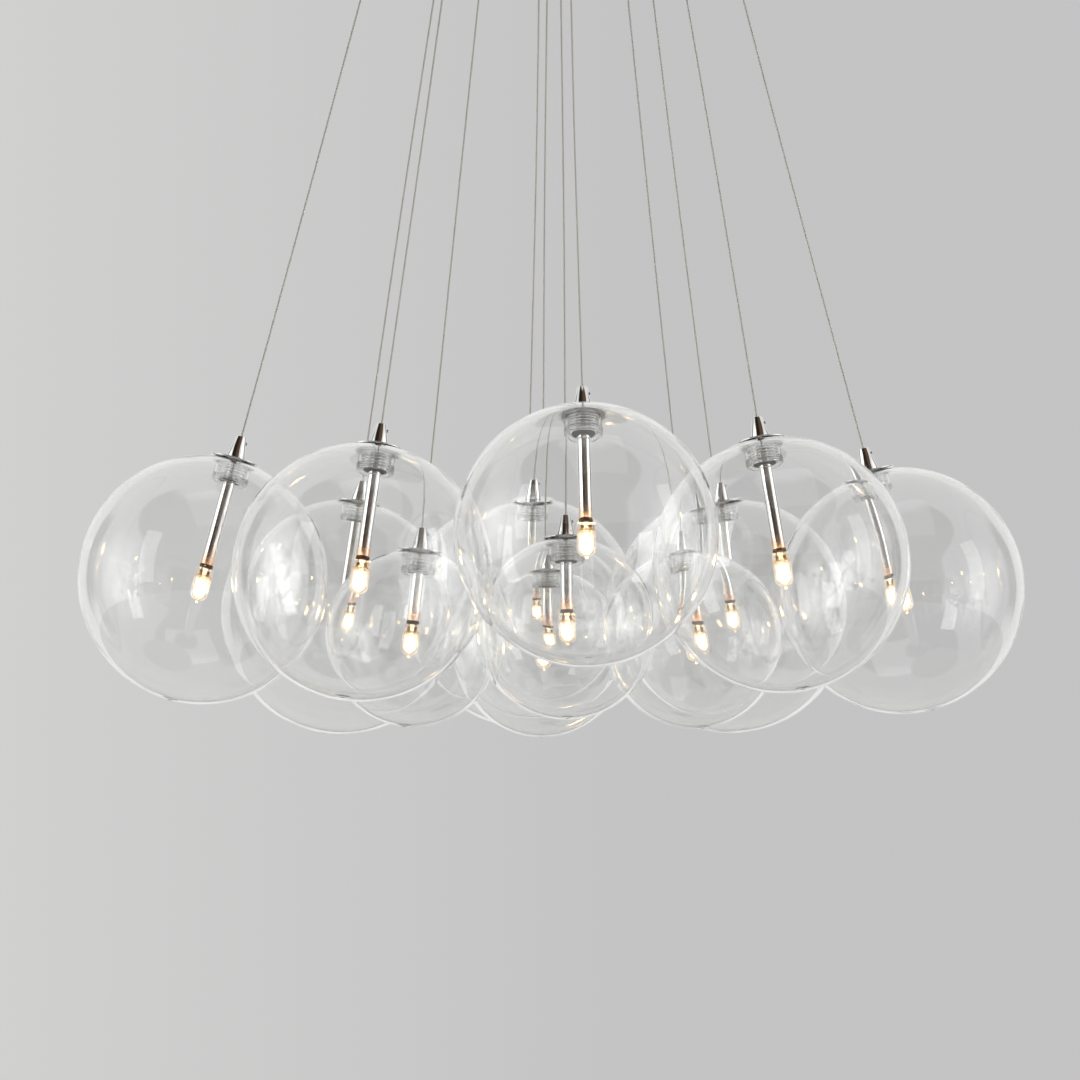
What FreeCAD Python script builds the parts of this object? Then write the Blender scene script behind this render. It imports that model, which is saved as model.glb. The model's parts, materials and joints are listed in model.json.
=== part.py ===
import FreeCAD
import Part
import math
import os

# Cluster pendant: twelve clear glass globes hang on thin cords from one round ceiling canopy.
# Eight large globes make a ring whose corner globes stand in a little, and four small ones
# hang lower in the middle. Millimetres, +Z up, origin on the ceiling at the canopy's centre,
# -Y to the front, +X to the right.

# ---- the cluster ----
SIDE_DROP = 417.0            # ceiling to the centre of a side globe
CORNER_BELOW_SIDE = 6.5      # a corner globe hangs this much lower than a side globe
INNER_BELOW_SIDE = 32.0      # and a small globe this much
NEIGHBOUR_GAP = 1.6          # glass to glass, side globe to corner globe
SIDE_INNER_GAP = 2.6         # glass to glass, side globe to small globe
INNER_GAP = 12.4             # glass to glass, small globe to small globe
CORNER_STEP_IN = 35.7        # a corner globe stands this much nearer the middle than a side globe
OUTER_RING_STEP = 45.0       # degrees from a side globe to the corner globe beside it
SIDE_PORT_RADIUS = 98.5      # canopy centre to the cord outlets, by ring
CORNER_PORT_RADIUS = 85.0
INNER_PORT_RADIUS = 38.5

# name, ring, azimuth in degrees, how far this one hangs above its ring's level
PENDANTS = (
    ("front", "side", 270.0, 6.0),
    ("right", "side", 0.0, -3.0),
    ("back", "side", 90.0, 2.0),
    ("left", "side", 180.0, 0.0),
    ("front_right", "corner", 315.0, 6.0),
    ("back_right", "corner", 45.0, 0.0),
    ("back_left", "corner", 135.0, -2.0),
    ("front_left", "corner", 225.0, 0.0),
    ("inner_front", "inner", 270.0, -1.0),
    ("inner_right", "inner", 0.0, 0.0),
    ("inner_back", "inner", 90.0, 0.0),
    ("inner_left", "inner", 180.0, 0.0),
)

# ---- glass globes ----
LARGE_GLOBE_DIAMETER = 140.0
SMALL_GLOBE_DIAMETER = 100.0
GLASS_WALL = 1.5
NECK_WALL = 1.3              # the mouth's edge is folded inwards as a short neck
NECK_DEPTH = 13.0
SEAL_RADIUS = 2.2            # sealing mark at the bottom pole
SEAL_HEIGHT = 0.7

# ---- holder: grip cone, disc, threaded collar, washer, nipple, stem and lamp socket ----
DISC_DIAMETER = 28.0
DISC_THICKNESS = 0.8
DISC_SEAT = 0.2              # under the disc, to the rim of the glass
CONE_BASE_DIAMETER = 10.8
CONE_TIP_DIAMETER = 5.6
CONE_HEIGHT = 13.6
CONE_TIP_WALL = 1.6          # solid metal over the wire bore, where the cord ends
COLLAR_DIAMETER = 17.0
COLLAR_LENGTH = 11.4
THREAD_DEPTH = 0.6
THREAD_RIBS = 6
NECK_CLEARANCE = 0.3         # collar thread to the bore of the glass neck
WASHER_DIAMETER = 12.7
WASHER_THICKNESS = 0.9
STEM_DIAMETER = 7.2
STEM_WALL = 0.4
NIPPLE_ENTRY = 5.0           # how far the nipple screws into the cone and into the stem
NIPPLE_BORE = 3.0
SLIP_FIT = 0.05              # radial, between parts that push or screw into each other
WIRE_DIAMETER = 0.9
WIRE_SPACING = 1.6
SET_SCREW_DIAMETER = 2.2
SET_SCREW_HEIGHT = 10.0      # above the cone's base
SET_SCREW_PROUD = 0.7
SET_SCREW_REACH = 0.5        # its point in the wire bore
SOCKET_DIAMETER = 7.6
SOCKET_RING_HEIGHT = 2.0
SOCKET_BODY_LENGTH = 6.2     # the part that sits inside the stem

# ---- two-pin capsule lamp ----
LAMP_BELOW_CENTRE = 3.4      # middle of the lamp below the centre of its globe
LAMP_LENGTH = 20.2           # socket face to the tip
LAMP_DIAMETER = 10.0
LAMP_SEAT = 0.2
PINCH_WIDTH = 9.6
PINCH_THICKNESS = 3.6
PINCH_LENGTH = 5.4           # flat stretch above the round body
LAMP_SHOULDER = 1.6
LAMP_DOME = 3.6
LAMP_TIP_LENGTH = 1.8
LAMP_TIP_RADIUS = 1.2
LAMP_TIP_POINT_RADIUS = 0.4
LAMP_GLASS = 0.9
PIN_DIAMETER = 0.7
PIN_PITCH = 4.0
PIN_LENGTH = 6.5
PIN_CLEARANCE = 0.08
FILAMENT_DIAMETER = 1.4
FILAMENT_BELOW_PINCH = 5.6

# ---- cords ----
CORD_DIAMETER = 1.2
CORD_END_GAP = 0.1           # cord to the cone's tip
# the points between each cord's two ends: a slight bow in a cord that the glass pulls tight
CORD_BENDS = {
    "front": [(-0.8, -125.3, -136.5), (-0.6, -151.7, -235.5)],
    "right": [(124.6, 0.8, -141.0), (151.0, 0.9, -241.5)],
    "back": [(0.9, 125.3, -138.5), (0.6, 151.9, -239.5)],
    "left": [(-124.7, 0.9, -140.0), (-151.0, 0.6, -240.5)],
    "front_right": [(75.4, -74.0, -139.0), (89.6, -88.6, -239.5)],
    "back_right": [(74.3, 75.5, -142.0), (88.8, 89.7, -243.5)],
    "back_left": [(-75.4, 74.3, -143.0), (-89.7, 88.9, -244.5)],
    "front_left": [(-74.2, -75.4, -142.0), (-88.8, -89.6, -243.5)],
    "inner_front": [(0.7, -49.6, -154.0), (0.9, -61.3, -269.5)],
    "inner_right": [(49.6, -0.8, -153.5), (61.3, -0.6, -269.0)],
    "inner_back": [(-0.8, 50.2, -153.5), (-0.5, 61.8, -269.0)],
    "inner_left": [(-50.2, -0.6, -153.5), (-61.8, -0.9, -269.0)],
}
ARC_SHARE = 0.45             # of the shorter run beside a bend, taken by the bend's arc

# ---- canopy ----
CANOPY_DIAMETER = 300.0
CANOPY_DEPTH = 32.0
CANOPY_SHEET = 1.2
CANOPY_EDGE_RADIUS = 6.0
GRIP_DIAMETER = 10.0
GRIP_LENGTH = 9.0            # under the canopy
GRIP_MOUTH_DEPTH = 3.0
GRIP_MOUTH_RADIUS = 3.7
GRIP_THROAT_RADIUS = 1.5
GRIP_EDGE = 1.0
GRIP_THREAD_DIAMETER = 8.0
GRIP_THREAD_LENGTH = 8.5     # above the canopy sheet
CORD_TAIL_LENGTH = 7.0       # cord that stands out of the grip, inside the canopy
CORD_TOP_GAP = 0.1           # rounded top of the cord to its tail in the grip's throat
HOLE_CLEARANCE = 0.2         # radial, screws and threads in sheet metal
NUT_ACROSS_FLATS = 13.0
NUT_HEIGHT = 3.5
NUT_SIDES = 6

# ---- mounting bar and its studs ----
STUD_SPACING = 256.0
STUD_DIAMETER = 4.0
BAR_END = 8.0                # bar past each stud
BAR_WIDTH = 22.0
BAR_THICKNESS = 2.5
BAR_SLOT_SPACING = 60.0
BAR_SLOT_LENGTH = 14.0
BAR_SLOT_WIDTH = 5.2
CABLE_ENTRY_RADIUS = 5.0
CAP_NUT_DIAMETER = 10.0
CAP_NUT_HEIGHT = 6.5
CAP_NUT_CROWN = 2.5
EARTH_SCREW_TO_STUD = 24.0   # along the bar
EARTH_SCREW_LENGTH = 9.0
EARTH_WASHER_DIAMETER = 9.0
EARTH_WASHER_THICKNESS = 0.8
EARTH_NUT_ACROSS_FLATS = 7.0
EARTH_NUT_HEIGHT = 3.2

# ---- low-voltage gear inside the canopy ----
TRANSFORMER_LENGTH = 84.0
TRANSFORMER_WIDTH = 34.0
TRANSFORMER_HEIGHT = 19.0
TRANSFORMER_PLACE = 68.5     # canopy centre to its middle
TRANSFORMER_FOOT = 8.0
TRANSFORMER_FOOT_THICKNESS = 2.0
TERMINAL_WIDTH = 16.0
TERMINAL_HEIGHT = 13.0
TERMINAL_PITCH = 8.5
MAINS_POLES = 3
LAMP_POLES = 6
LAMP_BLOCK_PLACE = 66.0
TERMINAL_WIRE_RADIUS = 1.6
FIXING_DIAMETER = 3.0
FIXING_PROUD = 1.6           # stud past its nut
FIXING_NUT_ACROSS_FLATS = 5.5
FIXING_NUT_HEIGHT = 2.4

# ---- worked out from the sizes above ----
Z = FreeCAD.Vector(0, 0, 1)
ORIGIN = FreeCAD.Vector(0, 0, 0)
LARGE_RADIUS = LARGE_GLOBE_DIAMETER / 2
RADIUS = {"side": LARGE_RADIUS, "corner": LARGE_RADIUS, "inner": SMALL_GLOBE_DIAMETER / 2}
CORNER_DROP = SIDE_DROP + CORNER_BELOW_SIDE
INNER_DROP = SIDE_DROP + INNER_BELOW_SIDE
DROP = {"side": SIDE_DROP, "corner": CORNER_DROP, "inner": INNER_DROP}
PORT_RADIUS = {"side": SIDE_PORT_RADIUS, "corner": CORNER_PORT_RADIUS, "inner": INNER_PORT_RADIUS}
CANOPY_FLOOR = -CANOPY_DEPTH                                  # the canopy's underside
CANOPY_INSIDE = CANOPY_FLOOR + CANOPY_SHEET                   # what the gear inside stands on
GRIP_THROAT_Z = CANOPY_FLOOR - GRIP_LENGTH + GRIP_MOUTH_DEPTH
PIVOT_Z = GRIP_THROAT_Z - CORD_TOP_GAP - CORD_DIAMETER / 2    # where each cord bends and swings
BAR_LENGTH = STUD_SPACING + 2 * BAR_END
EARTH_SCREW_PLACE = STUD_SPACING / 2 - EARTH_SCREW_TO_STUD    # from the bar's centre
COLLAR_RADIUS = COLLAR_DIAMETER / 2
NECK_BORE_RADIUS = COLLAR_RADIUS + NECK_CLEARANCE
NECK_RADIUS = NECK_BORE_RADIUS + NECK_WALL
STEM_RADIUS = STEM_DIAMETER / 2
STEM_BORE_RADIUS = STEM_RADIUS - STEM_WALL
NIPPLE_RADIUS = STEM_BORE_RADIUS - SLIP_FIT
SOCKET_FACE_Z = LAMP_LENGTH / 2 - LAMP_BELOW_CENTRE           # holder sizes below are from the globe's centre
SOCKET_RING_TOP_Z = SOCKET_FACE_Z + SOCKET_RING_HEIGHT
SOCKET_TOP_Z = SOCKET_RING_TOP_Z + SOCKET_BODY_LENGTH
PIN_RADIUS = PIN_DIAMETER / 2


def ring_radii():
    """Distance of the side, corner and small globes from the cluster's axis."""
    inner = (SMALL_GLOBE_DIAMETER + INNER_GAP) / math.sqrt(2)
    reach = (LARGE_GLOBE_DIAMETER + NEIGHBOUR_GAP) ** 2 - CORNER_BELOW_SIDE ** 2
    fold = 2 * (1 - math.cos(math.radians(OUTER_RING_STEP)))
    root = CORNER_STEP_IN ** 2 / 4 + (reach - CORNER_STEP_IN ** 2) / fold
    beside_neighbours = CORNER_STEP_IN / 2 + math.sqrt(root)
    apart = (LARGE_GLOBE_DIAMETER + SMALL_GLOBE_DIAMETER) / 2 + SIDE_INNER_GAP
    round_the_small = inner + math.sqrt(apart ** 2 - INNER_BELOW_SIDE ** 2)
    side = max(beside_neighbours, round_the_small)
    return {"side": side, "corner": side - CORNER_STEP_IN, "inner": inner}


RING_RADIUS = ring_radii()


def around(radius, azimuth, z):
    angle = math.radians(azimuth)
    return FreeCAD.Vector(radius * math.cos(angle), radius * math.sin(angle), z)


def globe_centre(ring, azimuth, raised):
    return around(RING_RADIUS[ring], azimuth, raised - DROP[ring])


def cord_top(ring, azimuth):
    return around(PORT_RADIUS[ring], azimuth, PIVOT_Z)


def pendant_placement(ring, azimuth, raised):
    """Puts a shape made about +Z, with the globe's centre at the origin, on its cord's line."""
    centre = globe_centre(ring, azimuth, raised)
    along = cord_top(ring, azimuth).sub(centre)
    tilt = math.degrees(math.atan2(RING_RADIUS[ring] - PORT_RADIUS[ring], along.z))
    tangent = FreeCAD.Vector(0, 1, 0)
    turn = FreeCAD.Rotation(Z, azimuth) * FreeCAD.Rotation(tangent, -tilt) * FreeCAD.Rotation(Z, -azimuth)
    return FreeCAD.Placement(centre, turn)


def turned(points):
    """Solid of revolution about Z from a closed outline of (radius, z) points, some joined by arcs."""
    edges = []
    start = points[0]
    index = 1
    while index <= len(points):
        item = points[index % len(points)]
        if isinstance(item, dict):
            end = points[(index + 1) % len(points)]
            middle = FreeCAD.Vector(item["through"][0], 0, item["through"][1])
            edges.append(Part.Arc(vector(start), middle, vector(end)).toShape())
            index += 2
        else:
            end = item
            edges.append(Part.LineSegment(vector(start), vector(end)).toShape())
            index += 1
        start = end
    return Part.Face(Part.Wire(edges)).revolve(ORIGIN, Z, 360)


def vector(point):
    return FreeCAD.Vector(point[0], 0, point[1])


def on_arc(radius, angle, z=0.0, offset=0.0):
    """Point of an outline on a circle round (offset, z), angle in degrees up from the horizontal."""
    turn = math.radians(angle)
    return (offset + radius * math.cos(turn), z + radius * math.sin(turn))


def bar(radius, low, high, x=0.0, y=0.0):
    return Part.makeCylinder(radius, high - low, FreeCAD.Vector(x, y, low))


def tube(outer, inner, low, high):
    return bar(outer, low, high).cut(bar(inner, low, high))


def block(x, y, low, high, at_x=0.0, at_y=0.0):
    return Part.makeBox(x, y, high - low, FreeCAD.Vector(at_x - x / 2, at_y - y / 2, low))


def hex_nut(across_flats, bore_radius, low, high, x=0.0, y=0.0):
    turn = 360 / NUT_SIDES
    corner = across_flats / 2 / math.cos(math.radians(turn / 2))
    ring = [around(corner, turn * side, low) + FreeCAD.Vector(x, y, 0) for side in range(NUT_SIDES + 1)]
    body = Part.Face(Part.makePolygon(ring)).extrude(FreeCAD.Vector(0, 0, high - low))
    return body.cut(bar(bore_radius, low, high, x, y))


def rim_z(globe_radius):
    """Height of the globe's mouth above its centre: where the neck meets the sphere."""
    return math.sqrt(globe_radius ** 2 - NECK_RADIUS ** 2)


def disc_z(globe_radius):
    return rim_z(globe_radius) + DISC_SEAT


def cone_tip_z(globe_radius):
    return disc_z(globe_radius) + DISC_THICKNESS + CONE_HEIGHT


def glass_globe(radius):
    inside = radius - GLASS_WALL
    mouth = rim_z(radius)
    neck_inside = math.sqrt(inside ** 2 - NECK_RADIUS ** 2)
    seal = -math.sqrt(radius ** 2 - SEAL_RADIUS ** 2)
    return turned([
        (0, -inside),
        {"through": on_arc(inside, 0)},
        (NECK_RADIUS, neck_inside),
        (NECK_RADIUS, mouth - NECK_DEPTH),
        (NECK_BORE_RADIUS, mouth - NECK_DEPTH),
        (NECK_BORE_RADIUS, mouth),
        (NECK_RADIUS, mouth),
        {"through": on_arc(radius, 0)},
        (SEAL_RADIUS, seal),
        (SEAL_RADIUS / 2, -radius - SEAL_HEIGHT),
        (0, -radius - SEAL_HEIGHT),
    ])


def grip_cone(base):
    tip = base + CONE_HEIGHT
    shell = turned([(0, base), (CONE_BASE_DIAMETER / 2, base), (CONE_TIP_DIAMETER / 2, tip), (0, tip)])
    shell = shell.cut(bar(NIPPLE_RADIUS, base, base + NIPPLE_ENTRY))
    shell = shell.cut(bar(NIPPLE_BORE / 2, base, tip - CONE_TIP_WALL))
    return shell.cut(set_screw(base))


def set_screw(base):
    """Small grub screw in the cone's side that grips the cord's end."""
    slope = (CONE_BASE_DIAMETER - CONE_TIP_DIAMETER) / 2 / CONE_HEIGHT
    surface = CONE_BASE_DIAMETER / 2 - slope * SET_SCREW_HEIGHT
    start = NIPPLE_BORE / 2 - SET_SCREW_REACH
    place = FreeCAD.Vector(start, 0, base + SET_SCREW_HEIGHT)
    length = surface + SET_SCREW_PROUD - start
    return Part.makeCylinder(SET_SCREW_DIAMETER / 2, length, place, FreeCAD.Vector(1, 0, 0))


def threaded_collar(top):
    """Clear collar that the glass neck hangs on: plain bore, round ribs outside."""
    pitch = COLLAR_LENGTH / THREAD_RIBS
    step = pitch / 5             # land, flank, crest, flank and land are alike
    root = COLLAR_RADIUS - THREAD_DEPTH
    outline = [(NIPPLE_RADIUS, top), (root, top)]
    for rib in range(THREAD_RIBS):
        high = top - rib * pitch
        outline += [(root, high - step), (COLLAR_RADIUS, high - 2 * step)]
        outline += [(COLLAR_RADIUS, high - 3 * step), (root, high - 4 * step)]
    outline += [(root, top - COLLAR_LENGTH), (NIPPLE_RADIUS, top - COLLAR_LENGTH)]
    return turned(outline)


def lamp_socket():
    ring = bar(SOCKET_DIAMETER / 2, SOCKET_FACE_Z, SOCKET_RING_TOP_Z)
    body = bar(NIPPLE_RADIUS, SOCKET_RING_TOP_Z, SOCKET_TOP_Z)
    socket = ring.fuse(body).removeSplitter()
    for side in (-1, 1):
        x = side * PIN_PITCH / 2
        depth = SOCKET_FACE_Z + PIN_LENGTH + LAMP_SEAT
        socket = socket.cut(bar(PIN_RADIUS + PIN_CLEARANCE, SOCKET_FACE_Z, depth, x))
    return socket


def holder(globe_radius):
    """The metal and clear parts that stay on the cord when the glass comes off."""
    disc_low = disc_z(globe_radius)
    cone_low = disc_low + DISC_THICKNESS
    washer_low = disc_low - COLLAR_LENGTH - WASHER_THICKNESS
    nipple_low = washer_low - NIPPLE_ENTRY
    nipple_high = cone_low + NIPPLE_ENTRY
    wire_high = cone_tip_z(globe_radius) - CONE_TIP_WALL
    parts = [
        grip_cone(cone_low),
        set_screw(cone_low),
        tube(DISC_DIAMETER / 2, NIPPLE_RADIUS, disc_low, cone_low),
        threaded_collar(disc_low),
        tube(WASHER_DIAMETER / 2, NIPPLE_RADIUS, washer_low, washer_low + WASHER_THICKNESS),
        tube(NIPPLE_RADIUS, NIPPLE_BORE / 2, nipple_low, nipple_high),
        tube(STEM_RADIUS, STEM_BORE_RADIUS, SOCKET_RING_TOP_Z, washer_low),
        lamp_socket(),
    ]
    for side in (-1, 1):
        parts.append(bar(WIRE_DIAMETER / 2, SOCKET_TOP_Z, wire_high, 0, side * WIRE_SPACING / 2))
    return parts


def capsule_outline(radius, shoulder, dome, top, bottom):
    """Half outline of a round body with a rounded shoulder and a domed lower end."""
    neck = radius - shoulder
    spread = radius - LAMP_TIP_RADIUS
    dome_radius = (spread ** 2 + dome ** 2) / (2 * spread)
    dome_turn = math.degrees(math.atan2(dome, dome_radius - spread))
    return [
        (0, top),
        (neck, top),
        {"through": on_arc(shoulder, 45, top - shoulder, neck)},
        (radius, top - shoulder),
        (radius, bottom + dome),
        {"through": on_arc(dome_radius, -dome_turn / 2, bottom + dome, radius - dome_radius)},
        (LAMP_TIP_RADIUS, bottom),
        (0, bottom),
    ]


def capsule_lamp():
    """Sealed capsule on two pins: glass, two pin wires and the filament between them."""
    top = SOCKET_FACE_Z - LAMP_SEAT
    tip = SOCKET_FACE_Z - LAMP_LENGTH
    body_top = top - PINCH_LENGTH + LAMP_SHOULDER
    dome_bottom = tip + LAMP_TIP_LENGTH
    radius = LAMP_DIAMETER / 2
    glass = turned(capsule_outline(radius, LAMP_SHOULDER, LAMP_DOME, body_top, dome_bottom))
    inside_tip = dome_bottom + LAMP_GLASS
    point = turned([(0, inside_tip), (LAMP_TIP_RADIUS, inside_tip), (LAMP_TIP_RADIUS, dome_bottom),
                    (LAMP_TIP_POINT_RADIUS, tip), (0, tip)])
    pinch_low = top - PINCH_LENGTH
    pinch = block(PINCH_WIDTH, PINCH_THICKNESS, pinch_low, top)
    glass = glass.fuse([point, pinch]).removeSplitter()
    hollow = turned(capsule_outline(radius - LAMP_GLASS, LAMP_SHOULDER, LAMP_DOME, pinch_low, inside_tip))
    glass = glass.cut(hollow)
    filament_z = pinch_low - FILAMENT_BELOW_PINCH
    parts = []
    for side in (-1, 1):
        x = side * PIN_PITCH / 2
        glass = glass.cut(bar(PIN_RADIUS, pinch_low - LAMP_GLASS, top, x))
        parts.append(bar(PIN_RADIUS, filament_z - FILAMENT_DIAMETER / 2, top + PIN_LENGTH, x))
    start = FreeCAD.Vector(PIN_RADIUS - PIN_PITCH / 2, 0, filament_z)
    length = PIN_PITCH - PIN_DIAMETER
    parts.append(Part.makeCylinder(FILAMENT_DIAMETER / 2, length, start, FreeCAD.Vector(1, 0, 0)))
    return [glass] + parts


def cord_path(points):
    """Straight runs joined by tangent arcs, each arc as large as its two runs allow."""
    edges = []
    radii = []
    start = points[0]
    for before, corner, after in zip(points, points[1:], points[2:]):
        back = before.sub(corner)
        ahead = after.sub(corner)
        half_turn = (math.pi - back.getAngle(ahead)) / 2
        setback = ARC_SHARE * min(back.Length, ahead.Length)
        radius = setback / math.tan(half_turn)
        radii.append(radius)
        enter = corner + back.normalize() * setback
        leave = corner + ahead.normalize() * setback
        inward = (back + ahead).normalize()
        middle = corner + inward * (radius / math.cos(half_turn) - radius)
        edges.append(Part.LineSegment(start, enter).toShape())
        edges.append(Part.Arc(enter, middle, leave).toShape())
        start = leave
    edges.append(Part.LineSegment(start, points[-1]).toShape())
    return Part.Wire(edges), radii


def cord(name, ring, azimuth, raised):
    place = pendant_placement(ring, azimuth, raised)
    tip = place.multVec(FreeCAD.Vector(0, 0, cone_tip_z(RADIUS[ring]) + CORD_END_GAP))
    bends = [FreeCAD.Vector(*point) for point in CORD_BENDS[name]]
    points = [cord_top(ring, azimuth)] + bends + [tip]
    path, radii = cord_path(points)
    first = points[1].sub(points[0])
    section = Part.Wire(Part.makeCircle(CORD_DIAMETER / 2, points[0], first))
    run = path.makePipeShell([section], True, False)
    expected = math.pi * (CORD_DIAMETER / 2) ** 2 * path.Length
    shown = ", ".join("%.0f" % radius for radius in radii)
    print("cord_%s: length %.1f, arc radii %s, volume %.1f of %.1f"
          % (name, path.Length, shown, run.Volume, expected))
    crown = Part.makeSphere(CORD_DIAMETER / 2, points[0], first.negative(), 0, 90, 360)
    return [run.fuse(crown).removeSplitter()]


def canopy_cover():
    """Shallow spun dish, open towards the ceiling."""
    outer = CANOPY_DIAMETER / 2
    inner = outer - CANOPY_SHEET
    edge = CANOPY_EDGE_RADIUS
    inside_edge = edge - CANOPY_SHEET
    bend = (outer - edge, CANOPY_FLOOR + edge)
    cover = turned([
        (0, CANOPY_FLOOR),
        (outer - edge, CANOPY_FLOOR),
        {"through": on_arc(edge, -45, bend[1], bend[0])},
        (outer, CANOPY_FLOOR + edge),
        (outer, 0),
        (inner, 0),
        (inner, CANOPY_FLOOR + edge),
        {"through": on_arc(inside_edge, -45, bend[1], bend[0])},
        (outer - edge, CANOPY_INSIDE),
        (0, CANOPY_INSIDE),
    ])
    holes = [bar(GRIP_THREAD_DIAMETER / 2 + HOLE_CLEARANCE, CANOPY_FLOOR, CANOPY_INSIDE, port.x, port.y)
             for port in ports()]
    for side in (-1, 1):
        x = side * STUD_SPACING / 2
        holes.append(bar(STUD_DIAMETER / 2 + HOLE_CLEARANCE, CANOPY_FLOOR, CANOPY_INSIDE, x))
    return [cover.cut(holes)]


def ports():
    return [cord_top(ring, azimuth) for name, ring, azimuth, raised in PENDANTS]


def cord_grips():
    """Threaded outlets through the canopy, each with a flared mouth, and the cord's tail in it."""
    radius = GRIP_DIAMETER / 2
    bottom = CANOPY_FLOOR - GRIP_LENGTH
    top = CANOPY_INSIDE + GRIP_THREAD_LENGTH
    thread = GRIP_THREAD_DIAMETER / 2
    bore = CORD_DIAMETER / 2 + SLIP_FIT
    body = turned([
        (bore, top),
        (bore, GRIP_THROAT_Z),
        (GRIP_THROAT_RADIUS, GRIP_THROAT_Z),
        (GRIP_MOUTH_RADIUS, bottom),
        (radius - GRIP_EDGE, bottom),
        {"through": on_arc(GRIP_EDGE, -45, bottom + GRIP_EDGE, radius - GRIP_EDGE)},
        (radius, bottom + GRIP_EDGE),
        (radius, CANOPY_FLOOR),
        (thread, CANOPY_FLOOR),
        (thread, top),
    ])
    tail = bar(CORD_DIAMETER / 2, GRIP_THROAT_Z, top + CORD_TAIL_LENGTH)
    parts = []
    for port in ports():
        for solid in (body, tail):
            parts.append(solid.translated(FreeCAD.Vector(port.x, port.y, 0)))
    return parts


def grip_nuts():
    bore = GRIP_THREAD_DIAMETER / 2 + SLIP_FIT
    return [hex_nut(NUT_ACROSS_FLATS, bore, CANOPY_INSIDE, CANOPY_INSIDE + NUT_HEIGHT, port.x, port.y)
            for port in ports()]


def mounting_bar():
    """Flat steel bar that two screws hold to the ceiling; the mains cable comes through its middle."""
    strip = block(BAR_LENGTH, BAR_WIDTH, -BAR_THICKNESS, 0)
    holes = [bar(CABLE_ENTRY_RADIUS, -BAR_THICKNESS, 0)]
    straight = BAR_SLOT_LENGTH - BAR_SLOT_WIDTH
    for side in (-1, 1):
        x = side * BAR_SLOT_SPACING / 2
        holes.append(block(straight, BAR_SLOT_WIDTH, -BAR_THICKNESS, 0, x))
        for end in (-1, 1):
            holes.append(bar(BAR_SLOT_WIDTH / 2, -BAR_THICKNESS, 0, x + end * straight / 2))
        holes.append(bar(STUD_DIAMETER / 2, -BAR_THICKNESS, 0, side * STUD_SPACING / 2))
    holes.append(bar(STUD_DIAMETER / 2, -BAR_THICKNESS, 0, EARTH_SCREW_PLACE))
    return [strip.cut(holes).removeSplitter()]


def canopy_studs():
    """Two threaded studs pressed into the bar; they carry the canopy."""
    low = CANOPY_FLOOR - CAP_NUT_HEIGHT + CAP_NUT_CROWN
    return [bar(STUD_DIAMETER / 2, low, 0, side * STUD_SPACING / 2) for side in (-1, 1)]


def cap_nuts():
    """Two domed nuts under the canopy."""
    radius = CAP_NUT_DIAMETER / 2
    bottom = CANOPY_FLOOR - CAP_NUT_HEIGHT
    stud = STUD_DIAMETER / 2 + SLIP_FIT
    crown_radius = (radius ** 2 + CAP_NUT_CROWN ** 2) / (2 * CAP_NUT_CROWN)
    crown_turn = math.degrees(math.asin(radius / crown_radius))
    dome = turned([
        (0, bottom),
        {"through": on_arc(crown_radius, crown_turn / 2 - 90, bottom + crown_radius)},
        (radius, bottom + CAP_NUT_CROWN),
        (radius, CANOPY_FLOOR),
        (stud, CANOPY_FLOOR),
        (stud, bottom + CAP_NUT_CROWN),
        (0, bottom + CAP_NUT_CROWN),
    ])
    return [dome.translated(FreeCAD.Vector(side * STUD_SPACING / 2, 0, 0)) for side in (-1, 1)]


def earth_screw():
    """Earth screw in the bar, with its washer and nut."""
    x = EARTH_SCREW_PLACE
    under_bar = -BAR_THICKNESS
    under_washer = under_bar - EARTH_WASHER_THICKNESS
    bore = STUD_DIAMETER / 2 + SLIP_FIT
    washer = bar(EARTH_WASHER_DIAMETER / 2, under_washer, under_bar, x)
    washer = washer.cut(bar(bore, under_washer, under_bar, x))
    return [
        bar(STUD_DIAMETER / 2, -EARTH_SCREW_LENGTH, 0, x),
        washer,
        hex_nut(EARTH_NUT_ACROSS_FLATS, bore, under_washer - EARTH_NUT_HEIGHT, under_washer, x),
    ]


def transformer(side):
    """Electronic transformer: closed case with a foot and a fixing hole at each end."""
    x = side * TRANSFORMER_PLACE
    length = TRANSFORMER_LENGTH - 2 * TRANSFORMER_FOOT
    case = block(TRANSFORMER_WIDTH, length, CANOPY_INSIDE, CANOPY_INSIDE + TRANSFORMER_HEIGHT, x)
    feet_top = CANOPY_INSIDE + TRANSFORMER_FOOT_THICKNESS
    feet = block(TRANSFORMER_WIDTH / 2, TRANSFORMER_LENGTH, CANOPY_INSIDE, feet_top, x)
    holes = [bar(FIXING_DIAMETER / 2 + HOLE_CLEARANCE, CANOPY_INSIDE, feet_top, x, y)
             for x, y, thickness in transformer_fixings(side)]
    return [case.fuse(feet).removeSplitter().cut(holes)]


def transformer_fixings(side):
    """Place of the stud in each foot, and the thickness that the nut clamps."""
    y = (TRANSFORMER_LENGTH - TRANSFORMER_FOOT) / 2
    return [(side * TRANSFORMER_PLACE, end * y, TRANSFORMER_FOOT_THICKNESS) for end in (-1, 1)]


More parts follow.
